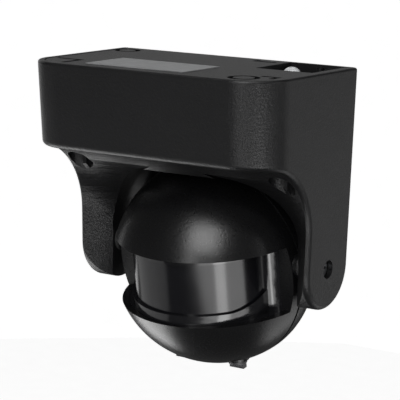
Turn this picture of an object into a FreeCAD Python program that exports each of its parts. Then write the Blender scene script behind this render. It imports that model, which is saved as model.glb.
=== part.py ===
import FreeCAD, Part
import math
import os

from FreeCAD import Vector, Rotation, Placement

# Wall-mounted passive infrared motion sensor.
# Frame: X to the right seen from the front, Y into the wall, Z up, millimetres.
# The origin is on the wall face, on the centre line, halfway up the box.

# ---- housing -------------------------------------------------------------
body_width = 94.0          # across the top rim
body_depth = 58.4          # wall face to the front of the top rim
box_height = 28.4          # top rim to the underside at the front
corner_radius = 14.0       # front vertical corners
side_draft = 0.025         # sides lean in per mm of depth below the rim
front_draft = 0.07         # front wall leans in per mm
wall = 2.2                 # housing wall
crease_radius = 2.0        # rounding of the lower edge and of the arms
rim_radius = 0.8           # rounding of the top outer edge
sweep_radius = 25.0        # concave sweep from the underside to the arms
arm_end_radius = 13.6      # round lower end of each arm, about the pivot
arm_wall = 2.0             # wall of the hollow arms
arm_gap = 1.6              # head to the arms, each side
pivot_from_wall = 13.6
pivot_below_rim = 65.2
arch_corner = 24.0         # corner of the arch between the arms
arch_below_rim = 35.8
flare_depth = 8.2          # the arms' front faces fall back this much towards the head
inner_sweep_radius = 21.3  # sweep of that set-back edge
inner_sweep_below_rim = 55.2
head_room = 1.8            # around the ball
back_web = 1.2             # web that closes the arch against the wall
back_web_below_rim = 52.0

# ---- mounting base -------------------------------------------------------
base_gap = 0.4            # all round clearance between base and housing
base_sink = 0.1            # top plate lies this far below the rim
base_plate = 2.4           # top plate thickness
back_plate = 3.0           # plate against the wall
wall_screw_pitch = 56.0
wall_screw_hole = 4.5
wall_screw_below_rim = 13.5
notch_left = 22.0          # cable notch in the top plate
notch_width = 21.0
notch_reach = 24.0
notch_deep = 6.2
notch_back = 1.4           # wall left between notch and room wall
slot_width = 1.8           # slots and rings moulded into the top plate
slot_deep = 2.0
grommet_radius = 3.6
label_width = 38.0
label_length = 21.0
label_thick = 0.25
terminal_left = -24.0      # terminal block
terminal_pitch = 9.0
terminal_below_rim = 21.0
wire_radius = 0.9

# ---- screws --------------------------------------------------------------
well_x = 39.6              # screw wells in the sweep
well_from_wall = 35.0
well_radius = 4.3
well_seat_below_rim = 16.0
long_screw_radius = 2.0
long_screw_head = 3.6
pcb_screw_radius = 1.25

# ---- head ----------------------------------------------------------------
head_radius = 35.6
arm_inner = head_radius + arm_gap
head_wall = 2.2
head_behind_pivot = 4.2    # ball centre from the pivot, towards the wall
head_below_pivot = 3.2
rest_tilt = 10.0           # nose-down angle of the head as drawn
tilt_up = 30.0             # travel from there, nose up
tilt_down = 6.0            # travel from there, nose down
wall_clearance = 2.2       # back of the head to the wall over that travel
seam_y = -4.0              # front and rear shells meet here, from the ball centre
window_top = 11.3          # window edges, from the ball centre
window_bottom = -11.5
window_end_y = -8.2
cheek_inset = 6.0          # flat cheeks beside the lens, from the side of the ball
cheek_x = head_radius - cheek_inset
lens_axis_y = -6.0
lens_inset = 4.5           # lens to the cheeks
lens_radius = cheek_x - lens_inset
lens_thick = 0.9
frame_thick = 1.1
frame_lip_bottom = -8.2
frame_lip_top = 10.6
frame_corner = 7.0
frame_cove = 4.4           # hollow curve from lens to cheek
frame_cove_front = -10.5
hub_radius = 3.4           # bush through the cheek of the head
hub_reach = 4.6            # length of that bush behind its flange
hub_flange = 4.4           # flange between head and arm
hub_flange_thick = 1.6
hub_collar = 2.2           # wall of the collar that holds the bush
hub_face_gap = 1.3         # flange face to the arm
washer_play = 0.06
pivot_screw_radius = 2.0
pivot_screw_head = 2.75
recess_radius = 3.1        # screw recess in the outer face of the arm
pivot_seat = 4.0           # screw seat, from the inner face of the arm
running_fit = 0.06         # radial clearance of every turning fit
tube_radius = 3.4          # hollow hub on the cable side
tube_bore = 2.2
lead_radius = 1.0
lead_bend = 1.5
clip_rim = 0.6             # spring clip stands out of the hollow hub
hub_tube_end = 1.1         # hollow hub past the inner wall of the arm
knob_x = 11.0
knob_y = -8.9
knob_shaft = 1.7
knob_disc = 3.2
knob_sink = 4.0            # seats of the knobs, up from the bottom of the ball
knob_pad = head_radius - knob_sink
trimmer_rise = 3.4         # trimmers above the seats of the knobs
trimmer_height = 4.7
pcb_thick = 1.6

rim_z = box_height / 2
pivot_y = -pivot_from_wall
pivot_z = rim_z - pivot_below_rim
ball_y = pivot_y + head_behind_pivot
ball_z = pivot_z - head_below_pivot
floor_z = rim_z - box_height + wall
low_z = pivot_z - arm_end_radius - 6
front_y = -body_depth
arm_front = pivot_y - arm_end_radius
far = 200.0

parts = {}


def below(distance):
    return rim_z - distance


def box(x0, x1, y0, y1, z0, z1):
    return Part.makeBox(x1 - x0, y1 - y0, z1 - z0, Vector(x0, y0, z0))


def cyl_x(radius, x0, x1, y, z):
    return Part.makeCylinder(radius, x1 - x0, Vector(x0, y, z), Vector(1, 0, 0))


def cyl_y(radius, y0, y1, x, z):
    return Part.makeCylinder(radius, y1 - y0, Vector(x, y0, z), Vector(0, 1, 0))


def cyl_z(radius, z0, z1, x, y):
    return Part.makeCylinder(radius, z1 - z0, Vector(x, y, z0), Vector(0, 0, 1))


def mirrored(shape):
    return shape.mirror(Vector(0, 0, 0), Vector(1, 0, 0))


def both_sides(shape):
    return [shape, mirrored(shape)]


def joined(shapes):
    result = shapes[0]
    if len(shapes) > 1:
        result = result.fuse(shapes[1:])
    return result.removeSplitter()


def keep(name, shape):
    parts[name] = shape


def group(name, shapes):
    parts[name] = Part.makeCompound(shapes)


def loop(points, arcs=None):
    """Closed wire through points; arcs maps an edge's index to its mid point."""
    arcs = arcs or {}
    edges = []
    for i, start in enumerate(points):
        end = points[(i + 1) % len(points)]
        if i in arcs:
            edges.append(Part.Arc(start, arcs[i], end).toShape())
        else:
            edges.append(Part.makeLine(start, end))
    return Part.Wire(edges)


def plan_loop(z, inset, radius, back=0.0):
    """Outline of the box seen from above at height z, set in by inset."""
    drop = rim_z - z
    half = body_width / 2 - side_draft * drop - inset
    front = front_y + front_draft * drop + inset
    c = radius * math.sqrt(0.5)
    cx = half - radius
    cy = front + radius
    pts = [Vector(half, back, z), Vector(half, cy, z), Vector(cx, front, z),
           Vector(-cx, front, z), Vector(-half, cy, z), Vector(-half, back, z)]
    arcs = {1: Vector(cx + c, cy - c, z), 3: Vector(-cx - c, cy - c, z)}
    return loop(pts, arcs)


def plan_solid(z_low, z_high, inset, radius, back=0.0):
    wires = [plan_loop(z_low, inset, radius, back), plan_loop(z_high, inset, radius, back)]
    return Part.makeLoft(wires, True, True)


def arch_wire(y):
    """Door-shaped outline in an XZ plane, open downwards past the arms."""
    top = below(arch_below_rim)
    c = arch_corner * math.sqrt(0.5)
    cx = arm_inner - arch_corner
    cz = top - arch_corner
    pts = [Vector(-arm_inner, y, low_z), Vector(-arm_inner, y, cz), Vector(-cx, y, top),
           Vector(cx, y, top), Vector(arm_inner, y, cz), Vector(arm_inner, y, low_z)]
    arcs = {1: Vector(-cx - c, y, cz + c), 3: Vector(cx + c, y, cz + c)}
    return loop(pts, arcs)


def prism(wire, direction):
    return Part.Face(wire).extrude(direction)


# ---- housing shell --------------------------------------------------------
def side_profile():
    """Side view of box and arm, with the sweep between them."""
    belly = below(box_height)
    start_y = arm_front - sweep_radius
    c = sweep_radius * (1 - math.sqrt(0.5))
    back_y = pivot_y + arm_end_radius
    pts = [Vector(0, back_y, rim_z), Vector(0, -far, rim_z), Vector(0, -far, belly),
           Vector(0, start_y, belly), Vector(0, arm_front, belly - sweep_radius),
           Vector(0, arm_front, pivot_z), Vector(0, back_y, pivot_z)]
    arcs = {3: Vector(0, arm_front - c, belly - c), 5: Vector(0, pivot_y, pivot_z - arm_end_radius)}
    return loop(pts, arcs)


def sweep_front(z, front, radius, tangent_z):
    """Y of a front face that runs down at front and sweeps forwards above tangent_z."""
    rise = min(max(z - tangent_z, 0), radius)
    return front - radius + math.sqrt(radius ** 2 - rise ** 2)


def arch_edge_x(z):
    """Half-width of the arch at height z."""
    rise = max(z - (below(arch_below_rim) - arch_corner), 0)
    return arm_inner - arch_corner + math.sqrt(max(arch_corner ** 2 - rise ** 2, 0))


def arm_flare():
    """What is cut so that the front of the right arm and sweep falls back towards the head."""
    belly = below(box_height)
    vanish = below(arch_below_rim) + 1.5
    levels = [low_z, pivot_z, below(inner_sweep_below_rim)]
    while levels[-1] < below(arch_below_rim) - 3:
        levels.append(levels[-1] + 2.4)
    levels.append(below(arch_below_rim) - 0.6)
    wires = []
    for z in levels + [vanish]:
        outer_x = body_width / 2 - side_draft * (rim_z - z) - 0.6 * crease_radius
        outer_y = sweep_front(z, arm_front, sweep_radius, belly - sweep_radius)
        edge_y = sweep_front(z, arm_front + flare_depth, inner_sweep_radius, below(inner_sweep_below_rim))
        edge_x = arch_edge_x(z)
        if z == vanish:
            edge_y = outer_y
        inner_x = edge_x - 3
        inner_y = outer_y + (edge_y - outer_y) * (outer_x - inner_x) / (outer_x - edge_x)
        wires.append(Part.makePolygon([
            Vector(outer_x, outer_y - 20, z), Vector(inner_x, outer_y - 20, z),
            Vector(inner_x, inner_y, z), Vector(outer_x, outer_y, z), Vector(outer_x, outer_y - 20, z)]))
    return Part.makeLoft(wires, True, True)


def arm_cavity():
    """Hollow of the right arm, open to the wall side and up into the box."""
    x0 = arm_inner + arm_wall
    x1 = body_width / 2 - side_draft * (rim_z - low_z) - arm_wall
    tall = loop([Vector(x0, 5, 0), Vector(x0, arm_front + flare_depth + 1.3, 0),
                 Vector(x1, arm_front + arm_wall + 3, 0), Vector(x1, 5, 0)])
    tall.translate(Vector(0, 0, low_z))
    shape = prism(tall, Vector(0, 0, below(box_height) + wall + 1 - low_z))
    profile = loop([Vector(x0 - 1, 5, floor_z + 1), Vector(x0 - 1, arm_front, floor_z + 1),
                    Vector(x0 - 1, arm_front, pivot_z), Vector(x0 - 1, pivot_y + arm_end_radius - arm_wall, pivot_z),
                    Vector(x0 - 1, pivot_y + arm_end_radius - arm_wall, pivot_z + 1),
                    Vector(x0 - 1, 5, pivot_z + 1)],
                   {2: Vector(x0 - 1, pivot_y, pivot_z - arm_end_radius + arm_wall)})
    return shape.common(prism(profile, Vector(x1 - x0 + 2, 0, 0)))


def outline_edges(shape, top):
    """Edges round the top rim, or round the underside and arms, without the wall side."""
    chosen = []
    for edge in shape.Edges:
        b = edge.BoundBox
        at_wall = b.YMin > -0.1
        at_rim = b.ZMin > rim_z - 0.1
        upright = b.ZMax > rim_z - 0.1 and not at_rim
        smooth = b.XLength > 80 and b.ZLength < 0.1 and b.YLength < 0.1 and b.YMin > front_y + 5
        if not (at_wall or upright or smooth) and at_rim == top:
            chosen.append(edge)
    return chosen


def housing_shell():
    outer = plan_solid(low_z, rim_z, 0, corner_radius)
    outer = outer.common(joined([prism(side_profile(), Vector(x, 0, 0)) for x in (far, -far)]))
    outer = outer.makeFillet(crease_radius, outline_edges(outer, False))
    outer = outer.makeFillet(rim_radius, outline_edges(outer, True))
    pocket = [prism(arch_wire(5), Vector(0, -far, 0)),
              Part.makeSphere(head_radius + head_room, Vector(0, ball_y, ball_z))]
    outer = outer.cut(pocket + both_sides(arm_flare()))
    outer = outer.fuse(box(-arm_inner - 1, arm_inner + 1, -back_web, 0, below(back_web_below_rim), floor_z))
    inner = plan_solid(floor_z, rim_z + 5, wall, corner_radius - wall, 5.0)
    shell = outer.cut([inner] + both_sides(arm_cavity()))
    # pivot boss on the right, bores and recesses
    boss = cyl_x(6.4, arm_inner + 0.5, body_width / 2 - 3, pivot_y, pivot_z)
    shell = shell.fuse(boss)
    seat_x = arm_inner + pivot_seat
    shell = shell.cut([cyl_x(pivot_screw_radius + running_fit, arm_inner - 1, seat_x + 1, pivot_y, pivot_z),
                       cyl_x(recess_radius, seat_x, far, pivot_y, pivot_z),
                       cyl_x(tube_radius + running_fit, -arm_inner - arm_wall - 1, -arm_inner + 1, pivot_y, pivot_z),
                       cyl_x(recess_radius, -far, -body_width / 2 + 2.6, pivot_y, pivot_z)])
    # screw wells with their towers
    well_y = -well_from_wall
    tower_top = below(base_sink + base_plate + 5)
    towers = both_sides(cyl_z(well_radius + 1.8, floor_z - 0.5, tower_top, well_x, well_y))
    clip = plan_solid(floor_z - 1, rim_z, 0.5, corner_radius)
    towers = [t.common(clip) for t in towers]
    wells = both_sides(cyl_z(well_radius, low_z, below(well_seat_below_rim), well_x, well_y))
    shanks = both_sides(cyl_z(long_screw_radius, low_z, tower_top + 1, well_x, well_y))
    ribs = both_sides(box(well_x - 0.7, well_x + 0.7, well_y + 2.2, well_y + well_radius + 0.5,
                          below(48), below(well_seat_below_rim + 4)))
    shell = shell.fuse(towers).cut(wells + shanks)
    shell = shell.fuse([r.common(outer) for r in ribs])
    # posts for the power board
    posts = []
    for x in pcb_hole_x():
        for y in pcb_hole_y():
            posts.append(cyl_z(3.0, floor_z - 0.5, power_pcb_z(), x, y).cut(
                cyl_z(pcb_screw_radius, floor_z, power_pcb_z() + 1, x, y)))
    shell = shell.fuse(posts).removeSplitter()
    keep("housing_shell", shell)
    return shell


# ---- mounting base --------------------------------------------------------
def base_half():
    return body_width / 2 - wall - base_gap


def mounting_base():
    top = below(base_sink)
    under = top - base_plate
    inset = wall + base_gap
    plate = plan_solid(under, top, inset, corner_radius - inset)
    lower = floor_z + base_gap
    half_low = base_half() - side_draft * (rim_z - lower)
    back = box(-half_low, half_low, -back_plate, 0, lower, top)
    notch_right = notch_left + notch_width
    notch_floor = top - notch_deep
    tray = box(notch_left - 1.6, notch_right, -notch_reach - 1.6, 0, notch_floor - 1.6, top)
    base = joined([plate, back, tray])
    base = base.cut(box(notch_left, notch_right, -notch_reach, -notch_back, notch_floor, far))
    base = base.fuse(cyl_z(1.2, notch_floor - 1, top - 0.8, notch_left + 0.55 * notch_width, -notch_back - 0.4))
    # holes for the two wall screws, and the grommet hole
    cuts = [cyl_y(wall_screw_hole / 2, -far, 5, sign * wall_screw_pitch / 2, below(wall_screw_below_rim))
            for sign in (-1, 1)]
    cuts.append(cyl_z(grommet_radius, notch_floor - 5, notch_floor + 1, *grommet_place()))
    # knock-out rings and corner slots moulded into the top plate
    deep = top - slot_deep
    for x, y, r in ((-40.0, -7.8, 4.6), (33.4, -49.4, 5.2)):
        cuts.append(cyl_z(r, deep, top + 1, x, y).cut(cyl_z(r - slot_width, deep - 1, top + 2, x, y)))
    for x, y, across, along in ((-43.0, -44.6, 10.6, slot_width), (-34.2, -53.6, slot_width, 10.6),
                                (35.6, -43.4, 7.0, slot_width), (40.8, -47.4, slot_width, 5.0),
                                (10.2, -7.0, 9.0, slot_width), (10.2, -7.0, slot_width, 3.6)):
        cuts.append(box(x, x + across, y, y + along, deep, top + 1))
    # bosses that take the long screws
    bosses = both_sides(cyl_z(well_radius + 1.4, below(base_sink + base_plate + 5), under + 0.2,
                              well_x, -well_from_wall))
    clip = plan_solid(floor_z, rim_z, inset, corner_radius - inset)
    bosses = [b.common(clip) for b in bosses]
    base = base.cut(cuts).fuse(bosses)
    screw_holes = both_sides(cyl_z(long_screw_radius, below(30), under + 0.9, well_x, -well_from_wall))
    base = base.cut(screw_holes).removeSplitter()
    keep("mounting_base", base)


def grommet_place():
    return (notch_left + notch_width * 0.38, -notch_reach * 0.6)


def rim_gasket():
    """Soft cord between the top plate and the ledge of the housing."""
    top = below(base_sink + base_plate)
    outer = plan_solid(top - 1.4, top, wall + base_gap, corner_radius - wall - base_gap, -back_plate)
    inner = plan_solid(top - 5, top + 5, wall + 2.2, corner_radius - wall - 2.2, 5)
    bosses = both_sides(cyl_z(well_radius + 1.4, top - 5, top + 5, well_x, -well_from_wall))
    rings = both_sides(cyl_z(well_radius + 3.4, top - 1.4, top, well_x, -well_from_wall))
    tray = box(notch_left - 1.6, far, -notch_reach - 1.6, 5, top - 5, top + 5)
    gasket = outer.cut(inner).fuse([r.common(outer) for r in rings])
    keep("rim_gasket", gasket.cut([tray] + bosses).removeSplitter())


def cable_grommet():
    x, y = grommet_place()
    z = below(base_sink) - notch_deep
    neck = cyl_z(grommet_radius, z - 1.6, z, x, y)
    flange = cyl_z(grommet_radius + 1.8, z, z + 1.4, x, y)
    foot = cyl_z(grommet_radius + 1.2, z - 3.0, z - 1.6, x, y)
    stem = cyl_z(grommet_radius - 0.4, z + 1.4, z + 3.2, x, y)
    dome = Part.makeSphere(grommet_radius - 0.4, Vector(x, y, z + 3.2))
    shape = joined([neck, flange, foot, stem, dome])
    keep("cable_grommet", shape.cut(cyl_z(grommet_radius - 1.5, z - 4, z + 3.0, x, y)))


def rating_label():
    top = below(base_sink)
    cx, cy = -6.5, -41.2
    keep("rating_label", box(cx - label_width / 2, cx + label_width / 2, cy - label_length / 2,
                             cy + label_length / 2, top, top + label_thick))


# ---- electrics in the box --------------------------------------------------
def power_pcb_z():
    return floor_z + 4.2


def pcb_hole_x():
    return (-29.0, 29.0)


def pcb_hole_y():
    return (-50.0, -23.0)


def terminal_strip():
    x0, pitch, z0 = terminal_left, terminal_pitch, below(terminal_below_rim)
    y1 = -back_plate
    body = box(x0, x0 + 3 * pitch, y1 - 12, y1, z0, z0 + 13)
    cages = []
    screws = []
    holes = []
    for i in range(3):
        x = x0 + pitch * (i + 0.5)
        holes.append(cyl_y(2.3, y1 - 13, y1 - 5, x, z0 + 8.8))
        holes.append(box(x - 3, x + 3, y1 - 10.5, y1 - 3.5, z0 - 1, z0 + 7.2))
        cages.append(box(x - 2.8, x + 2.8, y1 - 10.3, y1 - 3.7, z0 + 0.6, z0 + 6.6).cut(
            cyl_z(1.9, z0 - 1, z0 + 5.4, x, y1 - 7)))
        head = cyl_y(2.1, y1 - 9.5, y1 - 7.2, x, z0 + 8.8)
        screws.append(head.cut(box(x - 3, x + 3, y1 - 10, y1 - 8.9, z0 + 8.4, z0 + 9.2)))
    keep("terminal_block", body.cut(holes))
    group("terminal_clamps", cages)
    group("terminal_screws", screws)


def power_board():
    z = power_pcb_z()
    board = box(-32.5, 32.5, -53, -19.5, z, z + pcb_thick)
    holes = [cyl_z(pcb_screw_radius + 0.25, z - 1, z + 3, x, y) for x in pcb_hole_x() for y in pcb_hole_y()]
    keep("power_pcb", board.cut(holes))
    top = z + pcb_thick
    group("pcb_screws", [joined([cyl_z(pcb_screw_radius, z - 3.6, top, x, y),
                                 cyl_z(2.6, top, top + 1.8, x, y)]).cut(
                                     box(x - 3, x + 3, y - 0.3, y + 0.3, top + 1.0, top + 3))
                         for x in pcb_hole_x() for y in pcb_hole_y()])
    relay = box(-24, -5, -49, -34, top, top + 14.6)
    keep("relay", relay.makeFillet(0.6, relay.Edges))
    film = box(1, 19, -50, -43, top, top + 12)
    keep("film_capacitor", film.makeFillet(0.8, film.Edges))
    can = cyl_z(4.0, top + 0.4, top + 11.5, 12, -36)
    keep("electrolytic_capacitor", can.makeFillet(0.5, can.Edges[:1]).fuse(cyl_z(3.6, top, top + 0.4, 12, -36)))
    diodes = []
    for i in range(4):
        y = -27.5
        x = -20 + 5.0 * i
        diodes.append(joined([cyl_y(1.35, y - 2.6, y + 2.6, x, top + 1.6),
                              cyl_y(0.4, y - 4.4, y + 4.4, x, top + 1.6),
                              cyl_z(0.4, top, top + 1.6, x, y - 4.4), cyl_z(0.4, top, top + 1.6, x, y + 4.4)]))
    group("rectifier_diodes", diodes)
    keep("surge_varistor", joined([cyl_y(5.0, -37.5, -34.0, 25.0, top + 7.0),
                                   box(22.4, 23.2, -36.2, -35.4, top, top + 5),
                                   box(26.8, 27.6, -36.2, -35.4, top, top + 5)]))
    resistor = joined([cyl_x(2.2, 6.0, 16.0, -26, top + 3.0), cyl_x(0.4, 3.4, 18.6, -26, top + 3.0),
                       cyl_z(0.4, top, top + 3.0, 3.4, -26), cyl_z(0.4, top, top + 3.0, 18.6, -26)])
    keep("dropper_resistor", resistor)
    plug = box(-32.0, -26.0, -37.0, -29.0, top, top + 6)
    keep("lead_connector", plug.cut(box(-31, -27, -36, -30, top + 3.5, top + 7)))


def housing_screws():
    seat = below(well_seat_below_rim)
    top = below(base_sink + base_plate) + 0.7
    screw = joined([cyl_z(long_screw_radius, seat, top, well_x, -well_from_wall),
                    cyl_z(long_screw_head, seat - 3.0, seat, well_x, -well_from_wall)])
    slot = [box(well_x - 2.4, well_x + 2.4, -well_from_wall - 0.5, -well_from_wall + 0.5, seat - 4, seat - 1.6),
            box(well_x - 0.5, well_x + 0.5, -well_from_wall - 2.4, -well_from_wall + 2.4, seat - 4, seat - 1.6)]
    group("housing_screws", both_sides(screw.cut(slot)))


def pipe(points, radius, bend):
    """Round lead through the points, with tangent arcs of radius bend at the corners."""
    pieces = []
    start = points[0]
    for i in range(1, len(points)):
        p = points[i]
        way = (p - points[i - 1]).normalize()
        if i == len(points) - 1:
            pieces.append(Part.makeCylinder(radius, (p - start).Length, start, way))
            break
        onward = (points[i + 1] - p).normalize()
        turn = way.getAngle(onward)
        cut = bend * math.tan(turn / 2)
        a = p - way * cut
        pieces.append(Part.makeCylinder(radius, (a - start).Length, start, way))
        disc = Part.Face(Part.Wire(Part.makeCircle(radius, a, way)))
        axis = way.cross(onward).normalize()
        centre = a + axis.cross(way) * bend
        pieces.append(disc.revolve(centre, axis, math.degrees(turn)))
        start = p + onward * cut
    return joined(pieces)


def leads():
    top = power_pcb_z() + pcb_thick
    x_arm = -(arm_inner + arm_wall + hub_tube_end + lead_bend)
    y_up = pivot_y
    z_high = floor_z + 14.0
    route = [Vector(-29.0, -33.0, top + 3.5), Vector(-29.0, -33.0, z_high), Vector(-29.0, y_up, z_high),
             Vector(x_arm, y_up, z_high), Vector(x_arm, y_up, pivot_z), Vector(-31.0, y_up, pivot_z)]
    keep("head_lead", pipe(route, lead_radius, lead_bend))
    wires = []
    under_board = power_pcb_z() - wire_radius
    for i in range(3):
        x = terminal_left + terminal_pitch * (i + 0.5)
        y = -back_plate - 7
        wires.append(pipe([Vector(x, y, below(terminal_below_rim) + 5.2), Vector(x, y, under_board),
                           Vector(x, -21.2, under_board)], wire_radius, lead_bend))
    group("terminal_leads", wires)


# ---- head, drawn about the ball centre and then tilted ----------------------
head_place = Placement(Vector(0, ball_y, ball_z), Rotation(Vector(1, 0, 0), rest_tilt))


def set_head(name, shape):
    shape = shape.copy()
    shape.Placement = head_place.multiply(shape.Placement)
    parts[name] = shape


def head_pivot():
    """Pivot axis in the head's own frame."""
    local = head_place.inverse().multVec(Vector(0, pivot_y, pivot_z))
    return local.y, local.z


def swing_room(reach):
    """Everything in front of the wall, with reach behind the pivot, over the whole travel."""
    py, pz = head_pivot()
    up = math.radians(rest_tilt - tilt_up)
    down = math.radians(rest_tilt + tilt_down)
    mid = (up + down) / 2

    def on_nose(a):
        return Vector(-60, py + reach * math.cos(a), pz - reach * math.sin(a))

    top = on_nose(up)
    bottom = on_nose(down)
    high = top + Vector(0, math.sin(up), math.cos(up)) * 70
    low = bottom - Vector(0, math.sin(down), math.cos(down)) * 70
    pts = [high, top, bottom, low, Vector(-60, -90, low.z), Vector(-60, -90, high.z)]
    return prism(loop(pts, {1: on_nose(mid)}), Vector(120, 0, 0))


def ball(radius):
    return Part.makeSphere(radius, Vector(0, 0, 0), Vector(0, 0, 1))


def hub_ring(sign, r0, r1, x0, x1):
    py, pz = head_pivot()
    a, b = sorted((sign * x0, sign * x1))
    shape = cyl_x(r1, a, b, py, pz)
    if r0:
        shape = shape.cut(cyl_x(r0, a - 1, b + 1, py, pz))
    return shape


def hub_face_x():
    return arm_inner - hub_face_gap


def hub_inner_x():
    return hub_face_x() - hub_flange_thick - hub_reach


def boss_places():
    return [(x, z) for x in (-19.0, 19.0) for z in (-20.0, 19.0)]


def head_shells():
    reach = pivot_from_wall - wall_clearance
    solid = ball(head_radius).common(swing_room(reach))
    hollow = ball(head_radius - head_wall).common(swing_room(reach - head_wall))
    behind_window = box(-60, 60, window_end_y + 0.3, 60, -60, 60)
    collars = [hub_ring(s, 0, hub_radius + hub_collar, hub_inner_x(), 34).common(solid).common(behind_window)
               for s in (-1, 1)]
    hub_bores = [hub_ring(s, 0, hub_radius, 10, 60) for s in (-1, 1)]
    hub_bores += [hub_ring(s, 0, hub_flange + 0.1, hub_face_x() - hub_flange_thick, 60) for s in (-1, 1)]
    shell = solid.cut(hollow).fuse(collars)
    front_space = box(-60, 60, -60, seam_y, -60, 60)
    rear_space = box(-60, 60, seam_y, 60, -60, 60)
    front = shell.common(front_space)
    cheeks = box(-60, 60, window_end_y, seam_y, window_bottom - 2, window_top + 2).common(solid)
    cheeks = cheeks.cut([box(-cheek_x, cheek_x, -60, 60, -60, 60)])
    window = box(-60, 60, -60, window_end_y, window_bottom, window_top)
    frame_room = cyl_z(lens_radius + frame_thick + 0.3, window_bottom - 2.2, window_top + 2.2, 0, lens_axis_y)
    bosses = []
    pilots = []
    for x, z in boss_places():
        bosses.append(cyl_y(3.2, -30, seam_y, x, z).common(ball(head_radius - 1)))
        pilots.append(cyl_y(1.3, -13, 5, x, z))
    pads = []
    bores = []
    for x in (-knob_x, knob_x):
        pads.append(cyl_z(knob_disc + 0.9, -knob_pad, 2.4 - knob_pad, x, knob_y))
        bores.append(cyl_z(knob_shaft + running_fit, -60, -20, x, knob_y))
        bores.append(cyl_z(knob_disc + 0.5, -60, -knob_pad, x, knob_y))
        bores.append(cyl_z(knob_shaft + 1.3, 0.7 - knob_pad, 1.7 - knob_pad, x, knob_y))
    front = front.fuse(cheeks).fuse([b.cut(box(-60, 60, -60, 60, window_bottom, window_top)) for b in bosses])
    front = front.fuse(pads)
    front = front.cut([window, frame_room] + pilots + bores + hub_bores)
    # hairline groove where the two shells meet
    groove = cyl_y(60, seam_y - 0.5, seam_y + 0.5, 0, 0).cut(ball(head_radius - 0.5))
    front = front.cut(groove).removeSplitter()
    rear = shell.common(rear_space)
    holes = []
    rear_bosses = []
    for x, z in boss_places():
        rear_bosses.append(cyl_y(4.4, seam_y, 12, x, z).common(solid).cut(front_space))
        holes.append(cyl_y(1.7, -10, 30, x, z))
        holes.append(cyl_y(3.0, seam_y + 3.0, 30, x, z))
    rear = rear.fuse(rear_bosses).cut(holes + hub_bores + [groove]).removeSplitter()
    set_head("head_front_shell", front)
    set_head("head_rear_shell", rear)
    screws = []
    for x, z in boss_places():
        screw = joined([cyl_y(1.3, seam_y - 7, seam_y + 3.0, x, z), cyl_y(2.7, seam_y + 3.0, seam_y + 5.0, x, z)])
        screws.append(screw.cut(box(x - 2, x + 2, seam_y + 4, seam_y + 6, z - 0.35, z + 0.35)))
    set_head("head_screws", Part.makeCompound(screws))


def hubs():
    face = hub_face_x()
    inner = hub_inner_x()
    neck = face - hub_flange_thick
    right = joined([hub_ring(1, pivot_screw_radius, hub_radius, inner, neck),
                    hub_ring(1, pivot_screw_radius, hub_flange, neck, face)])
    set_head("pivot_hub", right)
    out = arm_inner + arm_wall + hub_tube_end
    left = joined([hub_ring(-1, tube_bore, hub_radius, inner, neck),
                   hub_ring(-1, tube_bore, hub_flange, neck, face),
                   hub_ring(-1, tube_bore, tube_radius, neck, out)])
    clip_x = arm_inner + arm_wall + 0.15
    left = left.cut(hub_ring(-1, tube_radius - 0.6, tube_radius + 2, clip_x, clip_x + 0.8))
    set_head("cable_hub", left)
    py, pz = head_pivot()
    clip = hub_ring(-1, tube_radius - 0.6, tube_radius + clip_rim, clip_x, clip_x + 0.8)
    clip = clip.cut(box(-60, -30, py - 1.6, py + 1.6, pz, pz + 10))
    set_head("hub_clip", clip)
    washers = [hub_ring(1, pivot_screw_radius + 0.05, hub_flange, face, arm_inner - washer_play),
               hub_ring(-1, tube_radius + 0.05, hub_flange, face, arm_inner - washer_play)]
    set_head("friction_washers", Part.makeCompound(washers))
    seat_x = arm_inner + pivot_seat
    screw = joined([hub_ring(1, 0, pivot_screw_radius, inner + 0.5, seat_x + washer_play),
                    hub_ring(1, 0, pivot_screw_head, seat_x + washer_play, seat_x + 2.2)])
    cross = [box(seat_x + 1.0, 60, py - 2, py + 2, pz - 0.45, pz + 0.45),
             box(seat_x + 1.0, 60, py - 0.45, py + 0.45, pz - 2, pz + 2)]
    set_head("pivot_screw", screw.cut(cross))


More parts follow.
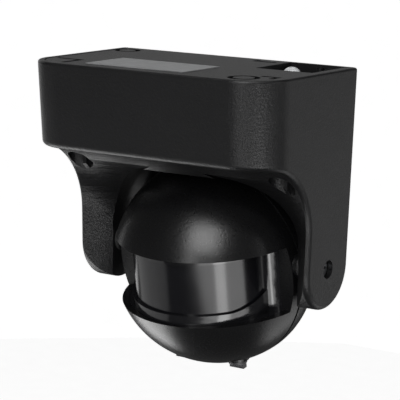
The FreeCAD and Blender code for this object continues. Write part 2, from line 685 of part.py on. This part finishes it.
def lens_and_frame():
    rear_y = lens_axis_y + 0.2
    front_half = box(-60, 60, -60, rear_y, -60, 60)
    r = lens_radius
    low = window_bottom - 1.6
    high = window_top + 1.6
    tube = cyl_z(r, low, high, 0, lens_axis_y).cut(cyl_z(r - lens_thick, low - 1, high + 1, 0, lens_axis_y))
    set_head("fresnel_lens", tube.common(front_half))
    # frame: curved band in front of the lens edge, with plates above and below
    band = cyl_z(r + frame_thick, low, high, 0, lens_axis_y).cut(
        cyl_z(r + 0.02, low - 1, high + 1, 0, lens_axis_y)).common(front_half)
    half = r + frame_thick
    c = frame_corner * math.sqrt(0.5)
    z0, z1, k = frame_lip_bottom, frame_lip_top, frame_corner
    pts = [Vector(-half, 0, z0 + k), Vector(-half, 0, z1 - 1), Vector(half, 0, z1 - 1), Vector(half, 0, z0 + k),
           Vector(half - k, 0, z0), Vector(-half + k, 0, z0)]
    opening = prism(loop(pts, {3: Vector(half - k + c, 0, z0 + k - c), 5: Vector(-half + k - c, 0, z0 + k - c)}),
                    Vector(0, -60, 0))
    band = band.cut([opening, box(-60, 60, -60, rear_y + 1, z0 + k, z1 - 1)])
    inside = ball(head_radius - head_wall - 0.05)
    plates = []
    for a, b in ((low, window_bottom - 0.1), (window_top + 0.1, high)):
        plate = cyl_z(60, a, b, 0, 0).common(inside).common(box(-60, 60, -60, window_end_y + 2.6, -60, 60))
        plates.append(plate.cut(cyl_z(r + 0.02, -60, 60, 0, lens_axis_y)))
    wing = box(r - 3, cheek_x - 0.05, frame_cove_front, window_end_y + 1.4, low, high)
    wing = wing.cut([cyl_z(r + 0.02, -60, 60, 0, lens_axis_y),
                     cyl_z(frame_cove, -60, 60, cheek_x, window_end_y - frame_cove)])
    frame = joined([band] + plates + both_sides(wing))
    bosses = [cyl_y(3.3, -30, seam_y, x, z) for x, z in boss_places()]
    cheeks = both_sides(box(cheek_x - 0.05, 60, window_end_y - 0.02, 60, -20, 20))
    set_head("lens_frame", frame.cut(bosses + cheeks))


def sensor_electronics():
    board_y = -3.6
    board = box(-22, 22, board_y, board_y + pcb_thick, -19, 19)
    holes = [cyl_y(4.6, -5, 10, x, z) for x, z in boss_places()]
    set_head("sensor_pcb", board.cut(holes))
    can_front = board_y - 7.4
    can = joined([cyl_y(4.1, can_front, board_y - 2.6, 0, 0), cyl_y(4.7, board_y - 3.2, board_y - 2.6, 0, 0)])
    can = can.cut(box(-2.2, 2.2, can_front - 1, can_front + 0.6, -1.7, 1.7))
    legs = [cyl_y(0.25, board_y - 2.6, board_y, x, z) for x, z in ((-1.8, 0), (1.8, 0), (0, 1.8))]
    set_head("pir_detector", joined([can] + legs))
    set_head("detector_window", box(-2.2, 2.2, can_front, can_front + 0.6, -1.7, 1.7))
    cell = cyl_y(2.5, board_y - 2.0, board_y, 14, 6)
    set_head("light_sensor", cell)
    led = joined([cyl_y(1.5, board_y - 3.4, board_y, -14, 6), Part.makeSphere(1.5, Vector(-14, board_y - 3.4, 6))])
    set_head("status_led", led)
    set_head("comparator_chip", box(-4.4, 4.4, board_y + pcb_thick, board_y + pcb_thick + 1.5, 4, 8))
    trimmer_low = trimmer_rise - knob_pad
    for name, sign in (("time", 1), ("lux", -1)):
        x = sign * knob_x
        body = box(x - 4.2, x + 4.2, knob_y - 3.4, board_y, trimmer_low, trimmer_low + trimmer_height)
        body = body.cut(cyl_z(knob_shaft + running_fit, -far, trimmer_low + 3.6, x, knob_y))
        set_head(name + "_trimmer", body.common(ball(head_radius - head_wall - 0.2)))
        shaft = cyl_z(knob_shaft, -knob_pad - 0.4, trimmer_low + 3.2, x, knob_y)
        disc = cyl_z(knob_disc, -knob_pad - 1.3, -knob_pad - 0.1, x, knob_y)
        bar = box(x - knob_disc + 0.4, x + knob_disc - 0.4, knob_y - 1.0, knob_y + 1.0,
                  -knob_pad - 3.1, -knob_pad - 1.2)
        set_head(name + "_knob", joined([shaft, disc, bar]))
    seals = [cyl_z(knob_shaft + 1.3, 0.7 - knob_pad, 1.7 - knob_pad, x, knob_y).cut(
        cyl_z(knob_shaft + running_fit, -far, trimmer_low, x, knob_y)) for x in (-knob_x, knob_x)]
    set_head("knob_seals", Part.makeCompound(seals))


housing_shell()
mounting_base()
rim_gasket()
cable_grommet()
rating_label()
terminal_strip()
power_board()
housing_screws()
leads()
head_shells()
hubs()
lens_and_frame()
sensor_electronics()

os.makedirs("parts", exist_ok=True)
for name, shape in parts.items():
    shape.exportStep("parts/" + name + ".step")
    print(name, len(shape.Solids), shape.isValid(), round(shape.Volume, 1))
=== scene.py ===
import bpy
import bmesh
import math
from mathutils import Matrix, Vector

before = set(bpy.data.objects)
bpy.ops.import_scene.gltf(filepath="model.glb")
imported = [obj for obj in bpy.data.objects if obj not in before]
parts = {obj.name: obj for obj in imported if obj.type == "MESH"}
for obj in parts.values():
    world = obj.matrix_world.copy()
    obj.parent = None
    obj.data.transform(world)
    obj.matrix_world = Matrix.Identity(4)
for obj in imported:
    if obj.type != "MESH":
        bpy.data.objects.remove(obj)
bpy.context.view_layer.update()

# Housing shell and mounting base: injection mouldings in black ABS. The tool is spark-eroded,
# which leaves a fine even grain and a soft, dull sheen that breaks up in the highlights.
# Grain of 0.2 mm is drawn at 0.8 mm, the finest that still shows.
mm = 0.001


def linear(hex_code, alpha=1.0):
    """An sRGB hex colour as linear values."""
    values = []
    for i in (0, 2, 4):
        c = int(hex_code[i:i + 2], 16) / 255
        values.append(c / 12.92 if c <= 0.04045 else ((c + 0.055) / 1.055) ** 2.4)
    return (*values, alpha)


def per_mm(size):
    """Texture scale whose features are about this many millimetres across."""
    return 1 / (size * mm)


def add(tree, kind, settings=None, links=None):
    """Adds one node: settings go to its sockets or attributes, links come from (node, output)."""
    made = tree.nodes.new(kind)
    for key, value in (settings or {}).items():
        if isinstance(key, int) or key in made.inputs:
            made.inputs[key].default_value = value
        else:
            setattr(made, key, value)
    for key, (source, output) in (links or {}).items():
        tree.links.new(source.outputs[output], made.inputs[key])
    return made


def finish_of(name, **surface):
    """A new material with its surface shader, and the point on the piece that patterns are laid out from."""
    made = bpy.data.materials.new(name)
    made.use_nodes = True
    tree = made.node_tree
    shader = tree.nodes["Principled BSDF"]
    for socket, value in surface.items():
        shader.inputs[socket.replace("_", " ")].default_value = value
    return made, tree, shader, add(tree, "ShaderNodeTexCoord")


def dress(tree, shader, tone, sheen, relief=None):
    """Joins the colour, roughness and surface relief to the surface shader."""
    tree.links.new(tone.outputs[2], shader.inputs["Base Color"])
    tree.links.new(sheen.outputs[0], shader.inputs["Roughness"])
    if relief:
        tree.links.new(relief.outputs[0], shader.inputs["Normal"])


def wear(material, *names):
    """Gives CAD pieces this finish."""
    for name in names:
        slots = parts[name].data.materials
        slots.clear()
        slots.append(material)


eroded_abs, tree, shader, place = finish_of("spark_eroded_ABS", IOR=1.53, Specular_IOR_Level=0.36)
grain = add(tree, "ShaderNodeTexNoise", {"Scale": per_mm(0.8), "Detail": 4.0, "Roughness": 0.65},
            {"Vector": (place, "Object")})
cloud = add(tree, "ShaderNodeTexNoise", {"Scale": per_mm(28), "Detail": 2.0}, {"Vector": (place, "Object")})
tone = add(tree, "ShaderNodeMix", {"data_type": "RGBA", 6: linear("0f0f10"), 7: linear("151516")},
           {0: (cloud, "Fac")})
sheen = add(tree, "ShaderNodeMapRange", {"To Min": 0.31, "To Max": 0.43}, {"Value": (grain, "Fac")})
relief = add(tree, "ShaderNodeBump", {"Strength": 0.8, "Distance": 0.16 * mm}, {"Height": (grain, "Fac")})
dress(tree, shader, tone, sheen, relief)
wear(eroded_abs, "housing_shell", "mounting_base")

# Gasket and knob seals: moulded black silicone, slightly powdery, so it stays dull.
silicone, tree, shader, place = finish_of("moulded_silicone", IOR=1.41)
dust = add(tree, "ShaderNodeTexNoise", {"Scale": per_mm(1.2), "Detail": 4.0}, {"Vector": (place, "Object")})
tone = add(tree, "ShaderNodeMix", {"data_type": "RGBA", 6: linear("202020"), 7: linear("303030")},
           {0: (dust, "Fac")})
sheen = add(tree, "ShaderNodeMapRange", {"To Min": 0.65, "To Max": 0.8}, {"Value": (dust, "Fac")})
dress(tree, shader, tone, sheen)
wear(silicone, "rim_gasket", "knob_seals", "friction_washers")

# Cable grommet: light grey soft rubber, pushed into the hole in the notch floor.
# Its dome is a closed skin that the fitter pierces for the cable.
grey_rubber, tree, shader, place = finish_of("light_grey_rubber", IOR=1.5)
dust = add(tree, "ShaderNodeTexNoise", {"Scale": per_mm(0.9), "Detail": 3.0}, {"Vector": (place, "Object")})
tone = add(tree, "ShaderNodeMix", {"data_type": "RGBA", 6: linear("b4b6b8"), 7: linear("cdcfd0")},
           {0: (dust, "Fac")})
sheen = add(tree, "ShaderNodeMapRange", {"To Min": 0.5, "To Max": 0.65}, {"Value": (dust, "Fac")})
dress(tree, shader, tone, sheen)
wear(grey_rubber, "cable_grommet")

# Rating label: blank silver polyester foil stuck on the top plate. The coating has a fine
# rolled grain along its length, which spreads the light one way.
foil, tree, shader, place = finish_of("silver_polyester_label", Metallic=0.35)
stretched = add(tree, "ShaderNodeMapping", {"Scale": (per_mm(3), per_mm(0.8), per_mm(3))},
                {"Vector": (place, "Object")})
rolled = add(tree, "ShaderNodeTexNoise", {"Scale": 1.0, "Detail": 3.0}, {"Vector": (stretched, 0)})
tone = add(tree, "ShaderNodeMix", {"data_type": "RGBA", 6: linear("6c6d6e"), 7: linear("b4b5b6")},
           {0: (rolled, "Fac")})
sheen = add(tree, "ShaderNodeMapRange", {"To Min": 0.35, "To Max": 0.5}, {"Value": (rolled, "Fac")})
relief = add(tree, "ShaderNodeBump", {"Strength": 0.5, "Distance": 0.12 * mm}, {"Height": (rolled, "Fac")})
dress(tree, shader, tone, sheen, relief)
wear(foil, "rating_label")

# Terminal block and lead connector: natural polyamide 66, moulded, with a waxy look.
nylon, tree, shader, place = finish_of("natural_polyamide", IOR=1.53)
cloud = add(tree, "ShaderNodeTexNoise", {"Scale": per_mm(3), "Detail": 3.0}, {"Vector": (place, "Object")})
tone = add(tree, "ShaderNodeMix", {"data_type": "RGBA", 6: linear("d6d3c8"), 7: linear("e6e4da")},
           {0: (cloud, "Fac")})
sheen = add(tree, "ShaderNodeMapRange", {"To Min": 0.35, "To Max": 0.5}, {"Value": (cloud, "Fac")})
dress(tree, shader, tone, sheen)
wear(nylon, "terminal_block", "lead_connector")

# Terminal clamps: pressed brass cages, bright plated.
brass, tree, shader, place = finish_of("pressed_brass", Metallic=1.0)
drawn = add(tree, "ShaderNodeTexNoise", {"Scale": per_mm(0.8), "Detail": 4.0}, {"Vector": (place, "Object")})
tone = add(tree, "ShaderNodeMix", {"data_type": "RGBA", 6: linear("b08f4c"), 7: linear("d0b06a")},
           {0: (drawn, "Fac")})
sheen = add(tree, "ShaderNodeMapRange", {"To Min": 0.22, "To Max": 0.42}, {"Value": (drawn, "Fac")})
dress(tree, shader, tone, sheen)
wear(brass, "terminal_clamps")

# Screws and detector can: steel, zinc or nickel plated, with the streaks of a turned surface.
plated, tree, shader, place = finish_of("zinc_plated_steel", Metallic=1.0)
turned = add(tree, "ShaderNodeTexNoise", {"Scale": per_mm(0.5), "Detail": 4.0}, {"Vector": (place, "Object")})
tone = add(tree, "ShaderNodeMix", {"data_type": "RGBA", 6: linear("9fa1a4"), 7: linear("c4c6c9")},
           {0: (turned, "Fac")})
sheen = add(tree, "ShaderNodeMapRange", {"To Min": 0.25, "To Max": 0.45}, {"Value": (turned, "Fac")})
dress(tree, shader, tone, sheen)
wear(plated, "terminal_screws", "pcb_screws", "housing_screws", "head_screws", "pivot_screw", "pir_detector")

# Circuit boards: glass-epoxy laminate under green solder mask, with copper tracks that
# show as lighter lines about 0.8 mm wide.
laminate, tree, shader, place = finish_of("solder_masked_laminate", IOR=1.5)
tracks = add(tree, "ShaderNodeTexVoronoi", {"Scale": per_mm(5), "feature": "DISTANCE_TO_EDGE",
                                            "distance": "EUCLIDEAN"}, {"Vector": (place, "Object")})
edge = add(tree, "ShaderNodeMath", {"operation": "LESS_THAN", 1: 0.08}, {0: (tracks, "Distance")})
tone = add(tree, "ShaderNodeMix", {"data_type": "RGBA", 6: linear("0f3f22"), 7: linear("1f6337")},
           {0: (edge, 0)})
sheen = add(tree, "ShaderNodeMapRange", {"To Min": 0.25, "To Max": 0.38}, {"Value": (edge, 0)})
dress(tree, shader, tone, sheen)
wear(laminate, "power_pcb", "sensor_pcb")


def coated(name, dark, light, rough, size, *nodes):
    """A coated or moulded component body: two near tones and a roughness that drift over size mm."""
    made, tree, shader, place = finish_of(name, IOR=1.5)
    drift = add(tree, "ShaderNodeTexNoise", {"Scale": per_mm(size), "Detail": 3.0},
                {"Vector": (place, "Object")})
    tone = add(tree, "ShaderNodeMix", {"data_type": "RGBA", 6: linear(dark), 7: linear(light)},
               {0: (drift, "Fac")})
    sheen = add(tree, "ShaderNodeMapRange", {"To Min": rough, "To Max": rough + 0.14},
                {"Value": (drift, "Fac")})
    dress(tree, shader, tone, sheen)
    wear(made, *nodes)


# Board components, soldered to the two boards: blue relay case, orange film capacitor, black
# sleeved electrolytic, epoxy diodes and chip, blue dipped varistor, lacquered resistor.
coated("moulded_PBT_blue", "17407c", "1e4c90", 0.3, 4, "relay")
coated("epoxy_dipped_film_orange", "a45a10", "b96a18", 0.25, 4, "film_capacitor")
coated("PVC_shrink_sleeve_black", "141418", "1e1e24", 0.22, 5, "electrolytic_capacitor")
coated("moulded_epoxy_black", "161616", "222222", 0.5, 1, "rectifier_diodes", "comparator_chip")
coated("dipped_phenolic_blue", "1c3f86", "27509c", 0.4, 1.5, "surge_varistor")
coated("baked_lacquer_grey", "7d8e92", "94a4a8", 0.3, 1.5, "dropper_resistor")
coated("moulded_PBT_trimmer_blue", "1d3f7c", "28519a", 0.4, 2, "time_trimmer", "lux_trimmer")
coated("detector_filter_silicon", "17171c", "202028", 0.08, 2, "detector_window")
coated("photocell_glaze", "7a4a20", "9c6a34", 0.15, 0.8, "light_sensor")
coated("red_diffused_epoxy", "7c0f0f", "a01a1a", 0.12, 2, "status_led")

# Leads: soft PVC insulation, extruded, so it has a smooth satin skin.
coated("extruded_PVC", "1b1b1c", "2a2a2c", 0.4, 2, "head_lead", "terminal_leads")

# Head: front shell with hood, cheeks and bowl, and rear shell, both black ABS like the
# housing but from a more finely textured tool, so the ball has a broader, softer shine.
fine_abs, tree, shader, place = finish_of("fine_textured_ABS", IOR=1.53)
grain = add(tree, "ShaderNodeTexNoise", {"Scale": per_mm(0.7), "Detail": 3.0, "Roughness": 0.6},
            {"Vector": (place, "Object")})
cloud = add(tree, "ShaderNodeTexNoise", {"Scale": per_mm(22), "Detail": 2.0}, {"Vector": (place, "Object")})
tone = add(tree, "ShaderNodeMix", {"data_type": "RGBA", 6: linear("0b0b0c"), 7: linear("101011")},
           {0: (cloud, "Fac")})
sheen = add(tree, "ShaderNodeMapRange", {"To Min": 0.24, "To Max": 0.33}, {"Value": (grain, "Fac")})
relief = add(tree, "ShaderNodeBump", {"Strength": 0.5, "Distance": 0.1 * mm}, {"Height": (grain, "Fac")})
dress(tree, shader, tone, sheen, relief)
wear(fine_abs, "head_front_shell", "head_rear_shell", "pivot_hub", "cable_hub", "hub_clip")

# Lens: one sheet of dark pigmented polyethylene, curved into the window. Outside it is
# polished; the lens steps moulded inside show through as faint upright seams 5.5 mm apart.
pigmented_pe, tree, shader, place = finish_of("polished_pigmented_polyethylene", IOR=1.51)
seam_spacing = 5.5
waves_per_scale = 20 / (2 * math.pi)
seams = add(tree, "ShaderNodeTexWave", {"Scale": per_mm(seam_spacing) / waves_per_scale, "Distortion": 0.0,
                                        "wave_profile": "SAW"}, {"Vector": (place, "Object")})
cloud = add(tree, "ShaderNodeTexNoise", {"Scale": per_mm(9), "Detail": 2.0}, {"Vector": (place, "Object")})
tone = add(tree, "ShaderNodeMix", {"data_type": "RGBA", 6: linear("0c0c0e"), 7: linear("141417")},
           {0: (cloud, "Fac")})
sheen = add(tree, "ShaderNodeMapRange", {"To Min": 0.12, "To Max": 0.2}, {"Value": (cloud, "Fac")})
relief = add(tree, "ShaderNodeBump", {"Strength": 0.12, "Distance": 0.05 * mm}, {"Height": (seams, "Fac")})
dress(tree, shader, tone, sheen, relief)
wear(pigmented_pe, "fresnel_lens")

# Lens frame: gloss black polycarbonate, clipped inside the window to hold the lens down.
polycarbonate, tree, shader, place = finish_of("gloss_polycarbonate", IOR=1.585)
ripple = add(tree, "ShaderNodeTexNoise", {"Scale": per_mm(6), "Detail": 2.0}, {"Vector": (place, "Object")})
tone = add(tree, "ShaderNodeMix", {"data_type": "RGBA", 6: linear("111113"), 7: linear("1a1a1c")},
           {0: (ripple, "Fac")})
sheen = add(tree, "ShaderNodeMapRange", {"To Min": 0.1, "To Max": 0.2}, {"Value": (ripple, "Fac")})
relief = add(tree, "ShaderNodeBump", {"Strength": 0.4, "Distance": 0.3 * mm}, {"Height": (ripple, "Fac")})
dress(tree, shader, tone, sheen, relief)
wear(polycarbonate, "lens_frame")

# Setting knobs: satin dark grey acetal, pressed on the trimmers, with a bar to turn them by.
coated("moulded_acetal", "3c3c3e", "4a4a4c", 0.3, 1.5, "time_knob", "lux_knob")

# Studio: a wide pale floor well below the sensor inside a pale dome, soft boxes above and
# beside it, and a long lens in front and to the right, a little above the middle of the box.
paper, tree, shader, place = finish_of("white_paper_floor", Roughness=0.9)
fibre = add(tree, "ShaderNodeTexNoise", {"Scale": per_mm(40), "Detail": 2.0}, {"Vector": (place, "Object")})
tone = add(tree, "ShaderNodeMix", {"data_type": "RGBA", 6: linear("fbfbfb"), 7: linear("ffffff")},
           {0: (fibre, "Fac")})
tree.links.new(tone.outputs[2], shader.inputs["Base Color"])
tree.links.new(tone.outputs[2], shader.inputs["Emission Color"])
shader.inputs["Emission Strength"].default_value = 0.9


def stage_piece(name, shape, height):
    """A plain studio surface that only the camera sees, so it adds no light of its own."""
    mesh = bpy.data.meshes.new(name)
    shape.to_mesh(mesh)
    shape.free()
    mesh.materials.append(paper)
    made = bpy.data.objects.new(name, mesh)
    bpy.context.scene.collection.objects.link(made)
    made.location = (0, 0, height)
    made.visible_diffuse = False
    made.visible_glossy = False
    made.visible_shadow = False


flat = bmesh.new()
bmesh.ops.create_grid(flat, x_segments=4, y_segments=4, size=3.4)
stage_piece("studio_floor", flat, -1.1)
shell = bmesh.new()
bmesh.ops.create_icosphere(shell, subdivisions=4, radius=4)
stage_piece("studio_dome", shell, 0)

world = bpy.data.worlds.new("studio_air")
bpy.context.scene.world = world
world.use_nodes = True
world.node_tree.nodes["Background"].inputs["Color"].default_value = linear("ffffff")
world.node_tree.nodes["Background"].inputs["Strength"].default_value = 0.06

middle = Vector((0, -25 * mm, -38 * mm))


def soft_box(name, azimuth, elevation, distance, width, height, radiance):
    """An area light of that radiance, seen from the sensor at that bearing, facing it."""
    a = math.radians(azimuth)
    e = math.radians(elevation)
    way = Vector((math.sin(a) * math.cos(e), -math.cos(a) * math.cos(e), math.sin(e)))
    light = bpy.data.lights.new(name, "AREA")
    light.shape = "RECTANGLE"
    light.size = width
    light.size_y = height
    light.energy = radiance * width * height * math.pi
    lamp = bpy.data.objects.new(name, light)
    bpy.context.scene.collection.objects.link(lamp)
    lamp.location = middle + way * distance
    lamp.rotation_euler = way.to_track_quat("Z", "Y").to_euler()
    lamp.visible_camera = False


# Each line gives azimuth and elevation in degrees, then distance, width and height in metres, then radiance.
soft_box("overhead_box", 20, 78, 1.0, 0.9, 0.75, 2.2)
soft_box("front_box", 15, 32, 1.2, 0.7, 0.65, 5.8)
soft_box("front_low_box", 2, 0, 1.1, 0.16, 0.5, 4.6)
soft_box("right_box", 100, 14, 1.1, 0.5, 0.7, 1.2)
soft_box("low_front_box", 46, -27, 0.8, 1.5, 0.2, 3.0)
soft_box("low_front_strip", 55, -26, 0.78, 0.2, 0.28, 4.2)
soft_box("right_back_panel", 146, -4, 1.0, 0.7, 0.7, 0.38)
soft_box("low_right_strip", 152, -20, 0.9, 0.12, 0.4, 0.7)
soft_box("low_right_box", 146, -44, 0.8, 0.5, 0.35, 1.0)
soft_box("back_panel", -147, 14, 1.0, 1.0, 0.5, 0.24)
soft_box("left_rim_box", -118, 2, 1.1, 0.5, 0.8, 0.75)
soft_box("left_low_panel", -72, -24, 0.9, 1.1, 0.4, 0.5)
soft_box("left_low_box", -88, -46, 0.8, 0.6, 0.35, 3.6)

camera = bpy.data.cameras.new("camera")
camera.sensor_width = 36
camera.lens = 164.88
camera.clip_end = 50
viewer = bpy.data.objects.new("camera", camera)
bpy.context.scene.collection.objects.link(viewer)
azimuth = math.radians(33)
elevation = math.radians(10.48)
roll = math.radians(1.17)
back = Vector((math.sin(azimuth) * math.cos(elevation), -math.cos(azimuth) * math.cos(elevation),
               math.sin(elevation)))
level = Vector((math.cos(azimuth), math.sin(azimuth), 0))
rise = back.cross(level)
across = level * math.cos(roll) + rise * math.sin(roll)
up = rise * math.cos(roll) - level * math.sin(roll)
stand = Vector((327.9, -526.2, 79.2)) * mm
viewer.matrix_world = Matrix.Translation(stand) @ Matrix((across, up, back)).transposed().to_4x4()
bpy.context.scene.camera = viewer
bpy.context.scene.view_settings.view_transform = "Standard"
